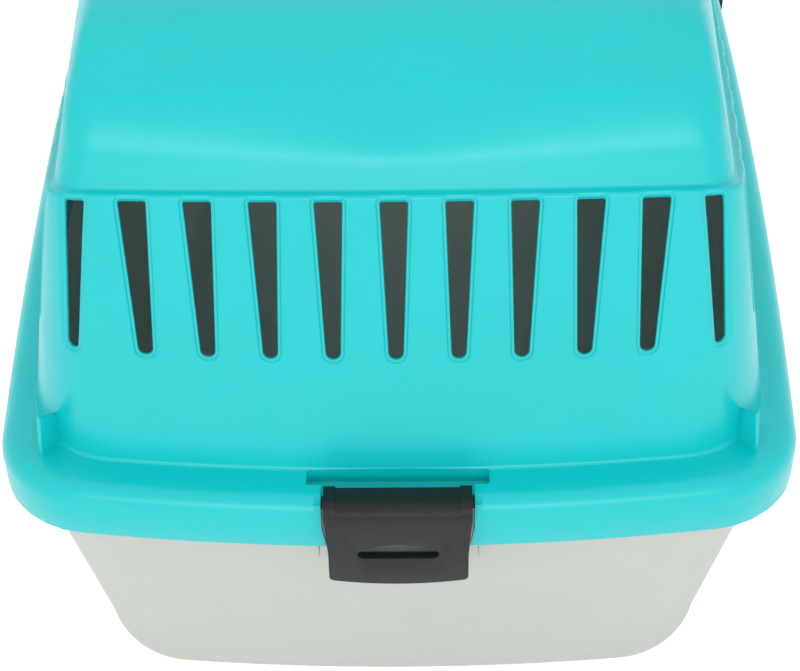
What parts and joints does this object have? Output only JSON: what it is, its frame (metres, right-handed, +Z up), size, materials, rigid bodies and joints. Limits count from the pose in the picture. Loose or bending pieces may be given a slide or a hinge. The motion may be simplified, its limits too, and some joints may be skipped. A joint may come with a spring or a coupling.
{
  "type": "pet carrier",
  "caption": "Plastic pet carrier: slotted domed upper half on a deep tray, swing latches, grille door with sliding bolts and a fold-down handle.",
  "frame": {"origin": "centre of the footprint, on the floor that the tray rests on", "axes": "+Z up, +Y towards the door, +X to the side the handle folds to"},
  "size_m": [0.3238, 0.487, 0.3154],
  "materials": {
    "tray": "light grey polypropylene, fine satin grain",
    "shell": "turquoise polypropylene, polished mould finish",
    "dark": "charcoal polypropylene, satin"
  },
  "bodies": {
    "housing": {"lower_tray": "tray", "upper_shell": "shell"},
    "rear_latch": {"rear_latch": "dark"},
    "left_latch": {"left_latch": "dark"},
    "right_latch": {"right_latch": "dark"},
    "door": {"door_grille": "dark", "bolt_cover": "dark"},
    "upper_bolt": {"upper_bolt": "dark"},
    "lower_bolt": {"lower_bolt": "dark"},
    "handle": {"carry_handle": "dark"}
  },
  "joints": [
    {"name": "rear_latch_pivot", "type": "hinge", "parent": "housing", "child": "rear_latch", "pos_m": [0, -0.235, 0.1426], "axis": [-1, 0, 0], "range_deg": [0, 100]},
    {"name": "left_latch_pivot", "type": "hinge", "parent": "housing", "child": "left_latch", "pos_m": [-0.15245, 0.14482, 0.1426], "axis": [0.0352, 0.9994, 0], "range_deg": [0, 100]},
    {"name": "right_latch_pivot", "type": "hinge", "parent": "housing", "child": "right_latch", "pos_m": [0.15245, 0.14482, 0.1426], "axis": [0.0352, -0.9994, 0], "range_deg": [0, 100]},
    {"name": "door_hinge", "type": "hinge", "parent": "housing", "child": "door", "pos_m": [-0.0965, 0.2395, 0.144], "axis": [0, 0, 1], "range_deg": [0, 170]},
    {"name": "upper_bolt_slide", "type": "slide", "parent": "door", "child": "upper_bolt", "axis": [0, 0, 1], "range_m": [0, 0.008]},
    {"name": "lower_bolt_slide", "type": "slide", "parent": "door", "child": "lower_bolt", "axis": [0, 0, -1], "range_m": [0, 0.008]},
    {"name": "handle_pivot", "type": "hinge", "parent": "housing", "child": "handle", "pos_m": [0, 0, 0.3102], "axis": [0, -1, 0], "range_deg": [0, 180]}
  ]
}
